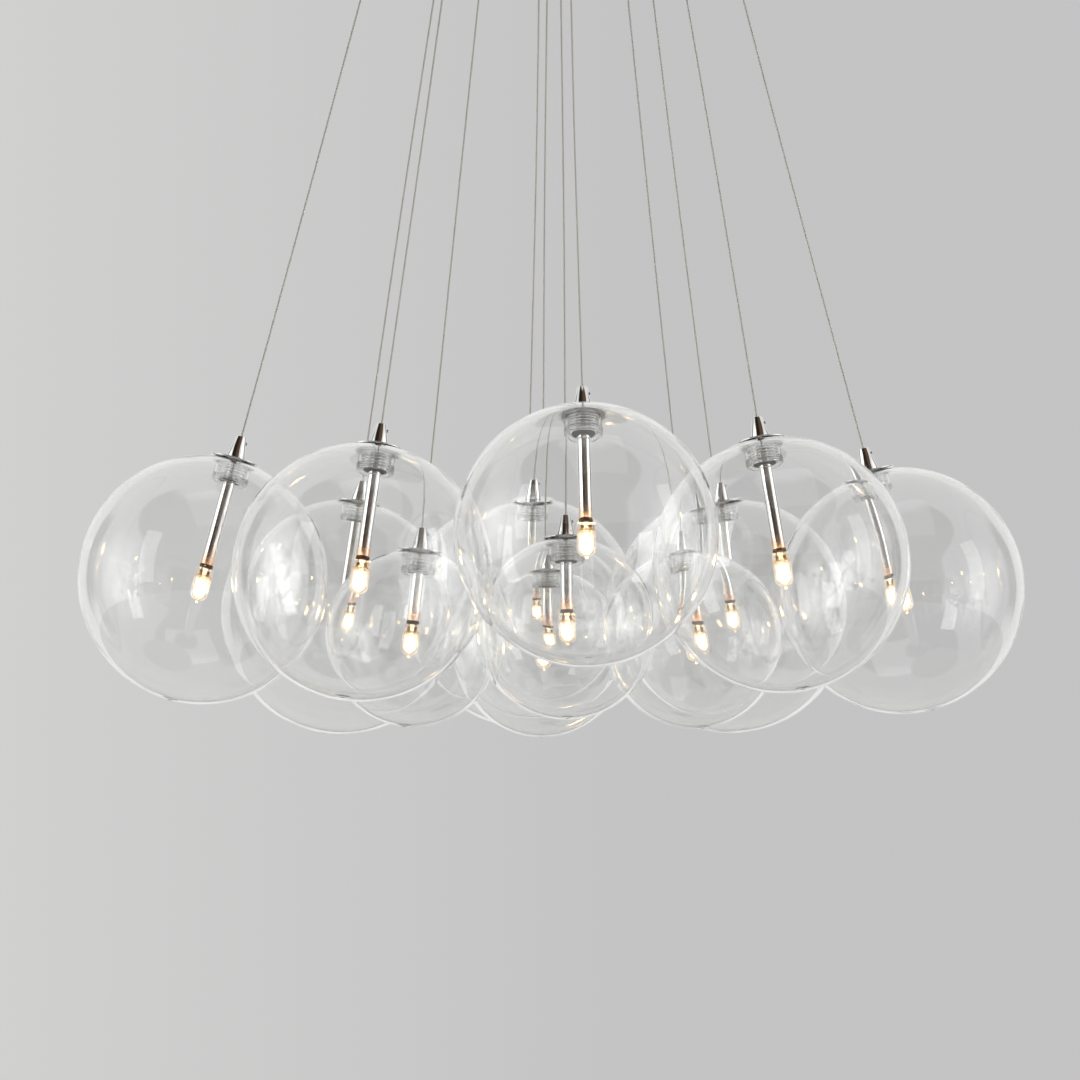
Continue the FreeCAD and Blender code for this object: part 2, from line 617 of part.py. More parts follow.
def terminal_block(poles, at_y):
    """Screw terminal block: a wire way right through each pole, and a fixing hole in the middle."""
    length = poles * TERMINAL_PITCH
    top = CANOPY_INSIDE + TERMINAL_HEIGHT
    body = block(length, TERMINAL_WIDTH, CANOPY_INSIDE, top, 0, at_y)
    ways = [bar(FIXING_DIAMETER / 2 + HOLE_CLEARANCE, CANOPY_INSIDE, top, 0, at_y)]
    for pole in range(poles):
        x = (pole + 0.5) * TERMINAL_PITCH - length / 2
        if abs(x) < TERMINAL_PITCH / 4:
            continue
        way = FreeCAD.Vector(x, at_y - TERMINAL_WIDTH / 2, CANOPY_INSIDE + TERMINAL_HEIGHT / 2)
        ways.append(Part.makeCylinder(TERMINAL_WIRE_RADIUS, TERMINAL_WIDTH, way, FreeCAD.Vector(0, 1, 0)))
    return body.cut(ways)


def mains_block():
    return [terminal_block(MAINS_POLES, 0.0)]


def lamp_blocks():
    return [terminal_block(LAMP_POLES, side * LAMP_BLOCK_PLACE) for side in (-1, 1)]


def gear_fixings():
    """Studs welded inside the canopy, with the nuts that hold the transformers and terminal blocks."""
    places = transformer_fixings(-1) + transformer_fixings(1)
    places += [(0, y, TERMINAL_HEIGHT) for y in (-LAMP_BLOCK_PLACE, 0, LAMP_BLOCK_PLACE)]
    bore = FIXING_DIAMETER / 2 + SLIP_FIT
    parts = []
    for x, y, thickness in places:
        seat = CANOPY_INSIDE + thickness
        nut_top = seat + FIXING_NUT_HEIGHT
        parts.append(bar(FIXING_DIAMETER / 2, CANOPY_INSIDE, nut_top + FIXING_PROUD, x, y))
        parts.append(hex_nut(FIXING_NUT_ACROSS_FLATS, bore, seat, nut_top, x, y))
    return parts


def write(node, solids):
    """One STEP file for the node, as separate solids."""
    for solid in solids:
        if not solid.isValid() or len(solid.Solids) != 1:
            print("check", node, solid.isValid(), len(solid.Solids))
    shape = solids[0] if len(solids) == 1 else Part.makeCompound(solids)
    shape.exportStep("parts/%s.step" % node)
    print(node, len(solids), "solids, volume %.0f" % sum(solid.Volume for solid in solids))


def main():
    os.makedirs("parts", exist_ok=True)
    for name, ring, azimuth, raised in PENDANTS:
        place = pendant_placement(ring, azimuth, raised)
        radius = RADIUS[ring]
        pieces = {"globe": [glass_globe(radius)], "holder": holder(radius), "lamp": capsule_lamp()}
        for piece, solids in pieces.items():
            write("%s_%s" % (piece, name), [solid.transformed(place.toMatrix()) for solid in solids])
        write("cord_%s" % name, cord(name, ring, azimuth, raised))
    write("canopy_cover", canopy_cover())
    write("cord_grips", cord_grips())
    write("grip_nuts", grip_nuts())
    write("mounting_bar", mounting_bar())
    write("canopy_studs", canopy_studs())
    write("cap_nuts", cap_nuts())
    write("earth_screw", earth_screw())
    write("transformer_left", transformer(-1))
    write("transformer_right", transformer(1))
    write("mains_block", mains_block())
    write("lamp_blocks", lamp_blocks())
    write("gear_fixings", gear_fixings())


main()
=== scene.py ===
import json
import math
import bmesh
import bpy
from mathutils import Matrix, Vector


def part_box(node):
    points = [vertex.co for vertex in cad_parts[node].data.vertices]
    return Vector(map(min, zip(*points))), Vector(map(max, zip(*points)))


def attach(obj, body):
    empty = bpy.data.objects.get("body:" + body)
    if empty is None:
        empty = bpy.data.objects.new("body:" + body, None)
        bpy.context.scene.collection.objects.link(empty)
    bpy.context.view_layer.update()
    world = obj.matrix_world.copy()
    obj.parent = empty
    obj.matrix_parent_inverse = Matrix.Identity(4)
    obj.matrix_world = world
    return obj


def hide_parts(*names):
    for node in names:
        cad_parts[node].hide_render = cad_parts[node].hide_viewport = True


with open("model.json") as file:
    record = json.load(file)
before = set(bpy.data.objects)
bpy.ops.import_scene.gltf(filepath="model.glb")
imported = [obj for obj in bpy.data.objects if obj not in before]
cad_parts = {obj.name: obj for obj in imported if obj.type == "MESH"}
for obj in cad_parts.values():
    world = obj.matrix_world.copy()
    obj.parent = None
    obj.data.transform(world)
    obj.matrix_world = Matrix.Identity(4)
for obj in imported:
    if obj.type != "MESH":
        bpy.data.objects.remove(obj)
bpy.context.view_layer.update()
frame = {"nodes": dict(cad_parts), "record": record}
mm = 0.001
print("frame loaded:", len(frame["nodes"]), "parts")


# small helpers for node trees

def put(tree, kind, inputs=None, **settings):
    node = tree.nodes.new(kind)
    for key, value in settings.items():
        setattr(node, key, value)
    for key, value in (inputs or {}).items():
        if isinstance(value, bpy.types.NodeSocket):
            tree.links.new(value, node.inputs[key])
        else:
            node.inputs[key].default_value = value
    return node


def maths(tree, operation, first, second=0.0):
    return put(tree, "ShaderNodeMath", {0: first, 1: second}, operation=operation).outputs[0]


def newTree(name, inputs):
    tree = bpy.data.node_groups.new(name, "GeometryNodeTree")
    tree.interface.new_socket("Geometry", in_out="INPUT", socket_type="NodeSocketGeometry")
    for label, kind, value in inputs:
        socket = tree.interface.new_socket(label, in_out="INPUT", socket_type=kind)
        if value is not None:
            socket.default_value = value
    tree.interface.new_socket("Geometry", in_out="OUTPUT", socket_type="NodeSocketGeometry")
    return tree


def runTree(tree, mesh, values):
    # a modifier on a helper object; what comes out is a plain mesh and the helper goes
    helper = bpy.data.objects.new("helper", mesh)
    bpy.context.collection.objects.link(helper)
    modifier = helper.modifiers.new("nodes", "NODES")
    modifier.node_group = tree
    for item in tree.interface.items_tree:
        if item.in_out == "INPUT" and item.name in values:
            modifier[item.identifier] = values[item.name]
    graph = bpy.context.evaluated_depsgraph_get()
    result = bpy.data.meshes.new_from_object(helper.evaluated_get(graph))
    bpy.data.objects.remove(helper)
    return result


def newMaterial(name, colour, roughness, metallic=0.0):
    material = bpy.data.materials.new(name)
    material.use_nodes = True
    tree = material.node_tree
    shader = tree.nodes["Principled BSDF"]
    shader.inputs["Base Color"].default_value = (*colour, 1.0)
    shader.inputs["Roughness"].default_value = roughness
    shader.inputs["Metallic"].default_value = metallic
    return material, tree, shader


def objectNoise(tree, scale, detail=3.0):
    place = put(tree, "ShaderNodeTexCoord").outputs["Object"]
    return put(tree, "ShaderNodeTexNoise", {"Vector": place, "Scale": scale, "Detail": detail}).outputs["Fac"]


def ranged(tree, value, fromLow, fromHigh, toLow=0.0, toHigh=1.0, **settings):
    return put(tree, "ShaderNodeMapRange", {"Value": value, "From Min": fromLow, "From Max": fromHigh,
                                            "To Min": toLow, "To Max": toHigh}, **settings).outputs["Result"]


def fade(tree, value, dark, bright):
    return ranged(tree, value, dark, bright, interpolation_type="SMOOTHSTEP")


def spread(tree, noise, low, high):
    # the middle half of a noise, spread over the range of a finish
    return ranged(tree, noise, 0.25, 0.75, low, high)


def bumpFrom(tree, shader, height, strength, distance):
    bump = put(tree, "ShaderNodeBump", {"Height": height, "Strength": strength, "Distance": distance})
    tree.links.new(bump.outputs["Normal"], shader.inputs["Normal"])


def mixColours(tree, amount, first, second):
    mix = put(tree, "ShaderNodeMix", {0: amount, 6: (*first, 1.0), 7: (*second, 1.0)}, data_type="RGBA")
    return mix.outputs[2]


# finishes

def ownPlace(tree):
    # where a point lies on its own piece, in millimetres, before the piece is hung
    place = put(tree, "ShaderNodeAttribute", attribute_name="local").outputs["Vector"]
    return put(tree, "ShaderNodeSeparateXYZ", {0: place}).outputs


def chromeFinish(name="polishedChrome", paintedGlowReach=0.0):
    # the last argument: how far up from the lamp, in millimetres, the lamp's glow is painted on the plating
    # as a warm, hazier reflection
    look = {"colour": (0.80, 0.80, 0.79), "smooth": 0.04, "hazy": 0.09, "patch": 420.0, "grain": 2600.0,
            "grainStrength": 0.03, "grainDepth": 0.00003, "paintedGlow": (0.95, 0.50, 0.24), "paintedGlowStrength": 0.62,
            "paintedGlowHaze": 0.28}
    material, tree, shader = newMaterial(name, look["colour"], look["smooth"], 1.0)
    roughness = spread(tree, objectNoise(tree, look["patch"]), look["smooth"], look["hazy"])
    bumpFrom(tree, shader, objectNoise(tree, look["grain"], 1.0), look["grainStrength"], look["grainDepth"])
    if paintedGlowReach:
        # painted reflection: the plating's lowest millimetres are tinted warm and hazed, standing in for the
        # lamp's glow
        low = socketSizes["face"] + socketSizes["ring"]
        paintedGlowMask = fade(tree, ownPlace(tree)["Z"], low + paintedGlowReach, low)
        paintedGlow = maths(tree, "MULTIPLY", paintedGlowMask, look["paintedGlowStrength"])
        tree.links.new(mixColours(tree, paintedGlow, look["colour"], look["paintedGlow"]), shader.inputs["Base Color"])
        roughness = maths(tree, "ADD", roughness, maths(tree, "MULTIPLY", paintedGlowMask, look["paintedGlowHaze"]))
    tree.links.new(roughness, shader.inputs["Roughness"])
    return material


def glassFinish(name, look):
    # clear glass: shadow rays pass it, and where a depth is given, its own depth tints it slightly
    rippleDepth = 0.001
    material, tree, shader = newMaterial(name, look["colour"], 0.0)
    shader.inputs["Transmission Weight"].default_value = 1.0
    shader.inputs["IOR"].default_value = look["ior"]
    haze = spread(tree, objectNoise(tree, look["patch"]), 0.0, look["haze"])
    tree.links.new(haze, shader.inputs["Roughness"])
    bumpFrom(tree, shader, objectNoise(tree, look["ripple"], 1.0), look["rippleStrength"], rippleDepth)
    through = put(tree, "ShaderNodeBsdfTransparent", {"Color": (*look["shadow"], 1.0)})
    rays = put(tree, "ShaderNodeLightPath")
    mix = put(tree, "ShaderNodeMixShader", {0: rays.outputs["Is Shadow Ray"], 1: shader.outputs[0],
                                            2: through.outputs[0]})
    output = tree.nodes["Material Output"]
    tree.links.new(mix.outputs[0], output.inputs["Surface"])
    if "depthDensity" in look:
        depth = put(tree, "ShaderNodeVolumeAbsorption", {"Color": (*look["depthColour"], 1.0),
                                                         "Density": look["depthDensity"]})
        tree.links.new(depth.outputs[0], output.inputs["Volume"])
    return material, tree, shader


def globeGlass():
    look = {"colour": (0.995, 0.997, 0.996), "ior": 1.5, "patch": 40.0, "haze": 0.01, "ripple": 38.0,
            "rippleStrength": 0.10, "shadow": (0.96, 0.965, 0.96), "depthColour": (0.88, 0.90, 0.90),
            "depthDensity": 4.0}
    return glassFinish("blownGlass", look)[0]


def collarGlass():
    # the rounded crests of the moulded thread are made less clear and white, painted highlight lines along
    # them; the rest is clear
    look = {"colour": (0.98, 0.985, 0.98), "ior": 1.45, "patch": 300.0, "haze": 0.03, "ripple": 500.0,
            "rippleStrength": 0.04, "shadow": (0.93, 0.93, 0.93), "depthColour": (0.88, 0.90, 0.90),
            "depthDensity": 3.0, "paintedHighlight": 0.55, "paintedHighlightFrom": 0.35, "paintedHighlightFull": 0.05}
    material, tree, shader = glassFinish("clearCollar", look)
    place = ownPlace(tree)
    squares = [maths(tree, "MULTIPLY", place[axis], place[axis]) for axis in ("X", "Y")]
    out = maths(tree, "SQRT", maths(tree, "ADD", *squares))
    crest = collarSizes["radius"]
    # crests turned white: painted highlight lines
    clear = ranged(tree, out, crest - look["paintedHighlightFrom"], crest - look["paintedHighlightFull"], 1.0, 1.0 - look["paintedHighlight"])
    tree.links.new(clear, shader.inputs["Transmission Weight"])
    return material


def lampGlass():
    # the quartz glows warm round the filament and is clear at its top
    look = {"colour": (0.99, 0.97, 0.93), "ior": 1.46, "patch": 300.0, "haze": 0.02, "ripple": 700.0,
            "rippleStrength": 0.05, "shadow": (0.95, 0.93, 0.88), "glow": (1.0, 0.62, 0.28),
            "glowStrength": 0.10, "glowFade": 4.0, "glowLeft": 0.12}
    material, tree, shader = glassFinish("lampQuartz", look)
    top = glowSizes["top"]
    above = ranged(tree, ownPlace(tree)["Z"], top, top + look["glowFade"], 1.0, look["glowLeft"])
    shader.inputs["Emission Color"].default_value = (*look["glow"], 1.0)
    tree.links.new(maths(tree, "MULTIPLY", above, look["glowStrength"]), shader.inputs["Emission Strength"])
    return material


def coilFinish():
    look = {"wire": (0.5, 0.4, 0.3), "roughness": 0.4, "patch": 1500.0, "hot": (1.0, 0.88, 0.62),
            "cool": (1.0, 0.62, 0.25), "strength": 90.0}
    material, tree, shader = newMaterial("filamentWire", look["wire"], look["roughness"], 1.0)
    patches = objectNoise(tree, look["patch"])
    tree.links.new(mixColours(tree, patches, look["cool"], look["hot"]), shader.inputs["Emission Color"])
    shader.inputs["Emission Strength"].default_value = look["strength"]
    return material


def glowFinish(name, look):
    # light round the filament: brightest in the middle of its height, warmer at the ends
    surface = {"colour": (0.9, 0.85, 0.7), "roughness": 0.5, "even": 0.6}
    s = glowSizes
    material, tree, shader = newMaterial(name, surface["colour"], surface["roughness"])
    shader.inputs["Alpha"].default_value = look["density"]
    middle = (s["top"] + s["bottom"]) / 2
    away = maths(tree, "ABSOLUTE", maths(tree, "SUBTRACT", ownPlace(tree)["Z"], middle))
    share = ranged(tree, away, s["radius"] * surface["even"], (s["top"] - s["bottom"]) / 2)
    tree.links.new(mixColours(tree, share, look["hot"], look["warm"]), shader.inputs["Emission Color"])
    strength = ranged(tree, share, 0.0, 1.0, look["strength"], look["ends"])
    tree.links.new(strength, shader.inputs["Emission Strength"])
    return material


def metalFinish(name, first, second, roughness, metallic, patch, grain):
    # a plain metal or moulding: two close colours in patches, uneven gloss and a fine grain
    look = {"glossy": 0.8, "dull": 1.25, "grainStrength": 0.12, "grainDepth": 0.00008}
    material, tree, shader = newMaterial(name, first, roughness, metallic)
    patches = objectNoise(tree, patch, 4.0)
    tree.links.new(mixColours(tree, patches, first, second), shader.inputs["Base Color"])
    gloss = spread(tree, patches, roughness * look["glossy"], roughness * look["dull"])
    tree.links.new(gloss, shader.inputs["Roughness"])
    bumpFrom(tree, shader, objectNoise(tree, grain, 2.0), look["grainStrength"], look["grainDepth"])
    return material


def cordFinish():
    # fine metal braid: two crossing sets of wires, darker between them as painted shade in the grooves
    look = {"wire": (0.68, 0.67, 0.64), "grooveShade": (0.44, 0.43, 0.41), "turns": 900.0, "lean": 0.7,
            "roughness": 0.5, "metallic": 0.35, "relief": 0.35, "reliefDepth": 0.0001}
    material, tree, shader = newMaterial("cordBraid", look["wire"], look["roughness"], look["metallic"])
    place = put(tree, "ShaderNodeTexCoord").outputs["Object"]
    heights = []
    for lean in (look["lean"], -look["lean"]):
        turned = put(tree, "ShaderNodeMapping", {"Vector": place, "Rotation": (0.0, lean, lean)}).outputs[0]
        wave = put(tree, "ShaderNodeTexWave", {"Vector": turned, "Scale": look["turns"]}, bands_direction="Z")
        heights.append(wave.outputs["Fac"])
    height = maths(tree, "MAXIMUM", *heights)
    # the grooves between the wires are darkened: painted shade
    tree.links.new(mixColours(tree, height, look["grooveShade"], look["wire"]), shader.inputs["Base Color"])
    bumpFrom(tree, shader, height, look["relief"], look["reliefDepth"])
    return material


# turned pieces: one tree turns an outline of radius and height, with round ribs where asked

def latheTree():
    ribMargin = 0.00005       # how far under the root a point still counts as the ribbed side
    mergeGap = 0.000002
    tree = newTree("lathe", [("Segments", "NodeSocketInt", 48), ("Spindle Radius", "NodeSocketFloat", 0.01),
                             ("Ribs", "NodeSocketFloat", 0.0), ("Rib Depth", "NodeSocketFloat", 0.0),
                             ("Rib Top", "NodeSocketFloat", 0.0), ("Rib Length", "NodeSocketFloat", 1.0),
                             ("Rib Root", "NodeSocketFloat", 1.0), ("Rib Sharpness", "NodeSocketFloat", 1.0),
                             ("Material", "NodeSocketMaterial", None)])
    given = put(tree, "NodeGroupInput").outputs
    where = put(tree, "ShaderNodeSeparateXYZ", {0: put(tree, "GeometryNodeInputPosition").outputs[0]})
    radius = maths(tree, "ADD", where.outputs["X"], given["Spindle Radius"])
    down = maths(tree, "ADD", where.outputs["Y"], given["Rib Top"])
    share = maths(tree, "DIVIDE", down, given["Rib Length"])
    inside = maths(tree, "MULTIPLY", maths(tree, "GREATER_THAN", share, 0.0),
                   maths(tree, "LESS_THAN", share, 1.0))
    outer = maths(tree, "GREATER_THAN", radius, maths(tree, "SUBTRACT", given["Rib Root"], ribMargin))
    turn = maths(tree, "MULTIPLY", maths(tree, "MULTIPLY", share, given["Ribs"]), 2 * math.pi)
    wave = maths(tree, "SUBTRACT", 0.5, maths(tree, "MULTIPLY", maths(tree, "COSINE", turn), 0.5))
    ridge = maths(tree, "POWER", wave, given["Rib Sharpness"])
    height = maths(tree, "MULTIPLY", ridge, maths(tree, "MULTIPLY", given["Rib Depth"],
                                                  maths(tree, "MULTIPLY", inside, outer)))
    push = put(tree, "ShaderNodeCombineXYZ", {"X": height})
    ribbed = put(tree, "GeometryNodeSetPosition", {"Geometry": given["Geometry"], "Offset": push.outputs[0]})
    profile = put(tree, "GeometryNodeMeshToCurve", {0: ribbed.outputs[0]})
    circle = put(tree, "GeometryNodeCurvePrimitiveCircle", {"Resolution": given["Segments"],
                                                            "Radius": given["Spindle Radius"]})
    swept = put(tree, "GeometryNodeCurveToMesh", {"Curve": circle.outputs[0],
                                                  "Profile Curve": profile.outputs[0]})
    merged = put(tree, "GeometryNodeMergeByDistance", {"Geometry": swept.outputs[0], "Distance": mergeGap})
    smooth = put(tree, "GeometryNodeSetShadeSmooth", {"Geometry": merged.outputs[0], "Shade Smooth": True})
    real = put(tree, "GeometryNodeRealizeInstances", {"Geometry": smooth.outputs[0]})
    coated = put(tree, "GeometryNodeSetMaterial", {"Geometry": real.outputs[0],
                                                   "Material": given["Material"]})
    put(tree, "NodeGroupOutput", {"Geometry": coated.outputs[0]})
    return tree


def arc(centreR, centreZ, radius, start, end, steps):
    points = []
    for step in range(steps + 1):
        angle = math.radians(start + (end - start) * step / steps)
        points.append((centreR + radius * math.cos(angle), centreZ + radius * math.sin(angle)))
    return points


def facedOut(mesh, sharpAngle=40.0):
    # faces outward, edges sharp past the angle, and each point's own place kept in millimetres
    work = bmesh.new()
    work.from_mesh(mesh)
    if work.calc_volume(signed=True) < 0:
        bmesh.ops.reverse_faces(work, faces=work.faces)
    work.to_mesh(mesh)
    work.free()
    mesh.set_sharp_from_angle(angle=math.radians(sharpAngle))
    local = mesh.attributes.new("local", "FLOAT_VECTOR", "POINT")
    for point, vertex in zip(local.data, mesh.vertices):
        point.vector = vertex.co / mm
    return mesh


def turned(outline, material, segments=48, closed=False, ribs=None):
    # outline: (radius, height) points in millimetres; ribs: count, depth, top, length, root and sharpness
    spindle = 0.01
    profile = bpy.data.meshes.new("outline")
    points = [(r * mm - spindle, -z * mm, 0.0) for r, z in outline]
    edges = [(i, i + 1) for i in range(len(points) - 1)]
    if closed:
        edges.append((len(points) - 1, 0))
    profile.from_pydata(points, edges, [])
    values = {"Segments": segments, "Spindle Radius": spindle, "Material": material}
    if ribs:
        values.update({"Ribs": float(ribs["count"]), "Rib Depth": ribs["depth"] * mm,
                       "Rib Top": ribs["top"] * mm, "Rib Length": ribs["length"] * mm,
                       "Rib Root": ribs["root"] * mm, "Rib Sharpness": ribs["sharpness"]})
    return facedOut(runTree(lathe, profile, values))


def sideways(mesh):
    # turns a piece made about +Z so that its top points along +X
    mesh.transform(Matrix.Rotation(math.radians(90), 4, "Y"))
    return mesh


# glass globes

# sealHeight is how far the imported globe's seal stands out, sealRise how far the drawn one does
globeSizes = {"wall": 1.5, "neckBore": 8.8, "neckRadius": 10.1, "neckDepth": 13.0, "lip": 0.8, "bead": 0.65,
              "fillet": 1.6, "rings": 3, "ringPitch": 1.15, "ringDepth": 0.4, "ringGap": 0.3,
              "sealRadius": 2.2, "sealHeight": 0.7, "sealRise": 0.4, "sealSteps": 6, "skinSteps": 56,
              "largeFrom": 60, "largeSegments": 112, "smallSegments": 96}


def rimHeight(radius):
    return math.sqrt(radius ** 2 - globeSizes["neckRadius"] ** 2)


def globeOutline(radius):
    s = globeSizes
    inside = radius - s["wall"]
    bottom = rimHeight(radius) - s["neckDepth"]
    lipR = s["neckBore"] + s["lip"]
    lipTurn = math.degrees(math.asin(lipR / (radius - s["lip"])))
    lipZ = (radius - s["lip"]) * math.cos(math.radians(lipTurn))
    filletR = s["neckRadius"] + s["fillet"]
    filletTurn = math.degrees(math.asin(filletR / (inside - s["fillet"])))
    filletZ = (inside - s["fillet"]) * math.cos(math.radians(filletTurn))
    sealTurn = math.degrees(math.asin(s["sealRadius"] / radius))
    points = []
    for step in range(s["sealSteps"]):
        share = step / s["sealSteps"]
        height = radius + s["sealRise"] * (0.5 + 0.5 * math.cos(math.pi * share))
        points.append((s["sealRadius"] * share, -height))
    points += arc(0, 0, radius, sealTurn - 90, 90 - lipTurn, s["skinSteps"])
    points += arc(lipR, lipZ, s["lip"], 90 - lipTurn, 180, 7)[1:]
    points += arc(s["neckBore"] + s["bead"], bottom + s["bead"], s["bead"], 180, 360, 8)
    for ring in range(s["rings"]):
        low = bottom + s["bead"] + s["ringGap"] + ring * s["ringPitch"]
        points += arc(s["neckRadius"], low + s["ringPitch"] / 2, s["ringDepth"], -90, 90, 6)
    points += arc(filletR, filletZ, s["fillet"], 180, 90 - filletTurn, 7)
    points += arc(0, 0, inside, 90 - filletTurn, -90, s["skinSteps"])[1:]
    points[-1] = (0.0, -inside)
    return points


# holder pieces; heights are from the globe's centre, in millimetres

discSizes = {"radius": 14.0, "thick": 0.8, "seat": 0.2, "bore": 3.2, "flatEnd": 1.6}


def discUnderside(radius):
    return rimHeight(radius) + discSizes["seat"]


def discOutline(low):
    s = discSizes
    half = s["thick"] / 2
    flat = s["radius"] - s["flatEnd"]
    return ([(0, low + s["thick"]), (flat, low + s["thick"])]
            + arc(s["radius"] - half, low + half, half, 90, -90, 8)
            + [(flat, low), (s["bore"], low), (0, low)])


# foot: how far in from the cone's base, and how many edges up
coneSizes = {"base": 5.4, "tip": 2.8, "height": 13.6, "cordHole": 0.7, "cordHoleDepth": 0.8, "mouth": 0.2,
             "edge": 0.35, "edgeShare": 0.3, "flare": 0.05, "foot": ((0.1, 1.2), (0.15, 0.4), (0.45, 0.0))}


def coneOutline(base):
    s = coneSizes
    tip = base + s["height"]
    hole = s["cordHole"]
    holeEnd = tip - s["cordHoleDepth"]
    edge = s["edge"]
    corner = edge * s["edgeShare"]
    return ([(0, holeEnd), (hole, holeEnd), (hole, tip - s["mouth"]), (hole + s["mouth"], tip),
             (s["tip"] - edge, tip), (s["tip"] - corner, tip - corner), (s["tip"] + s["flare"], tip - edge)]
            + [(s["base"] - inward, base + edge * up) for inward, up in s["foot"]] + [(0, base)])


# hole, lip and face are shares of the screw's radius
screwSizes = {"radius": 1.1, "length": 3.0, "height": 10.0, "proud": 0.7, "hole": 0.5, "holeDepth": 0.55,
              "lip": 0.6, "lipDepth": 0.05, "face": 0.82, "crown": 0.18}


def screwOutline():
    s = screwSizes
    r = s["radius"]
    return [(0, -s["holeDepth"]), (r * s["hole"], -s["holeDepth"]), (r * s["hole"], -s["lipDepth"]),
            (r * s["lip"], 0.0), (r * s["face"], 0.0), (r, -s["crown"]), (r, -s["length"]), (0, -s["length"])]


def coneScrew(base):
    # the screw stands a little proud of the cone's slope
    s = screwSizes
    slope = (coneSizes["base"] - coneSizes["tip"]) / coneSizes["height"]
    out = coneSizes["base"] - slope * s["height"] + s["proud"]
    screw = sideways(turned(screwOutline(), finishes["chrome"], 24))
    screw.transform(Matrix.Translation((out * mm, 0, (base + s["height"]) * mm)))
    return screw


collarSizes = {"radius": 8.5, "length": 11.4, "wall": 1.0, "bore": 3.8, "ribs": 6, "ribDepth": 0.6,
               "ribSharpness": 2.6, "ribSteps": 10}


def collarOutline(top):
    # a thin clear bush: ribbed wall between two flanges
    s = collarSizes
    root = s["radius"] - s["ribDepth"]
    low = top - s["length"]
    steps = s["ribs"] * s["ribSteps"]
    side = [(root, top - s["length"] * step / steps) for step in range(steps + 1)]
    inside = root - s["wall"]
    bore = s["bore"]
    return ([(bore, top)] + side + [(bore, low), (bore, low + s["wall"]), (inside, low + s["wall"]),
            (inside, top - s["wall"]), (bore, top - s["wall"])])


def collarRibs(top):
    s = collarSizes
    return {"count": s["ribs"], "depth": s["ribDepth"], "top": top, "length": s["length"],
            "root": s["radius"] - s["ribDepth"], "sharpness": s["ribSharpness"]}


washerSizes = {"radius": 6.35, "thick": 0.9, "slack": 0.05, "edge": 0.15}
# the stem's last size is how far up it a warm reflection of the lamp's glow is painted
stemSizes = {"radius": 3.6, "wall": 0.4, "edge": 0.08, "topGap": 0.05, "paintedGlowReach": 12.0}


def ringOutline(inner, outer, low, high, edge):
    return [(inner, high), (outer - edge, high), (outer, high - edge),
            (outer, low + edge), (outer - edge, low), (inner, low)]


nippleSizes = {"radius": 3.15, "entry": 5.0, "bore": 1.5, "thread": 0.25, "turns": 36, "stepsPerMm": 8}


def nippleOutline(low, high):
    s = nippleSizes
    r = s["radius"] - s["thread"]
    steps = int((high - low) * s["stepsPerMm"])
    side = [(r, high - (high - low) * step / steps) for step in range(steps + 1)]
    return [(s["bore"], high)] + side + [(s["bore"], low)]


def nippleThread(high):
    s = nippleSizes
    length = s["entry"] * 2 + discSizes["thick"] + collarSizes["length"] + washerSizes["thick"]
    return {"count": s["turns"], "depth": s["thread"], "top": high, "length": length,
            "root": s["radius"] - s["thread"], "sharpness": 1.0}


# the edges and the dish underneath are pairs: in and up or down for an edge, rim and floor for the dish
socketSizes = {"radius": 3.8, "face": 6.7, "ring": 2.0, "body": 6.2, "topEdge": (0.2, 0.25),
               "lowEdge": (0.3, 0.35), "dish": (2.9, 2.7), "dishDepth": 0.3}


def socketOutline():
    # a ring that shows under the stem, and a body that hides in it
    s = socketSizes
    r, neck, face = s["radius"], nippleSizes["radius"], s["face"]
    top = face + s["ring"]
    dishZ = face + s["dishDepth"]
    (topIn, topDown), (lowIn, lowUp), (dishRim, dishFloor) = s["topEdge"], s["lowEdge"], s["dish"]
    return [(0, top + s["body"]), (neck, top + s["body"]), (neck, top), (r - topIn, top), (r, top - topDown),
            (r, face + lowUp), (r - lowIn, face), (dishRim, face), (dishFloor, dishZ), (0, dishZ)]


# lamp; pip: radius and drop of the sealed point's rings, pipEnd: radius and rise of its last one

capsuleSizes = {"radius": 5.0, "length": 20.2, "seat": 0.2, "shoulder": 1.6, "dome": 3.6, "tip": 1.8,
                "tipRadius": 1.2, "wall": 0.9, "pip": ((1.0, 0.6), (0.85, 1.2)), "pipEnd": (0.5, 0.15)}
pinchSizes = {"width": 9.6, "thick": 3.6, "height": 5.4, "edge": 0.5}


def lampTop():
    return socketSizes["face"] - capsuleSizes["seat"]


def lampLow():
    return socketSizes["face"] - capsuleSizes["length"]


def capsuleOutline(inset):
    # half outline of the lamp's round body, at the outer skin or inset by the wall
    s = capsuleSizes
    bodyTop = lampTop() - pinchSizes["height"] + s["shoulder"] - inset
    domeLow = lampLow() + s["tip"] + inset
    r = s["radius"] - inset
    shoulder = s["shoulder"]
    reach = r - s["tipRadius"]
    domeRadius = (reach ** 2 + s["dome"] ** 2) / (2 * reach)
    domeTurn = math.degrees(math.atan2(s["dome"], domeRadius - reach))
    points = [(0, bodyTop)] + arc(r - shoulder, bodyTop - shoulder, shoulder, 90, 0, 8)
    points += arc(r - domeRadius, domeLow + s["dome"], domeRadius, 0, -domeTurn, 12)
    return points, domeLow


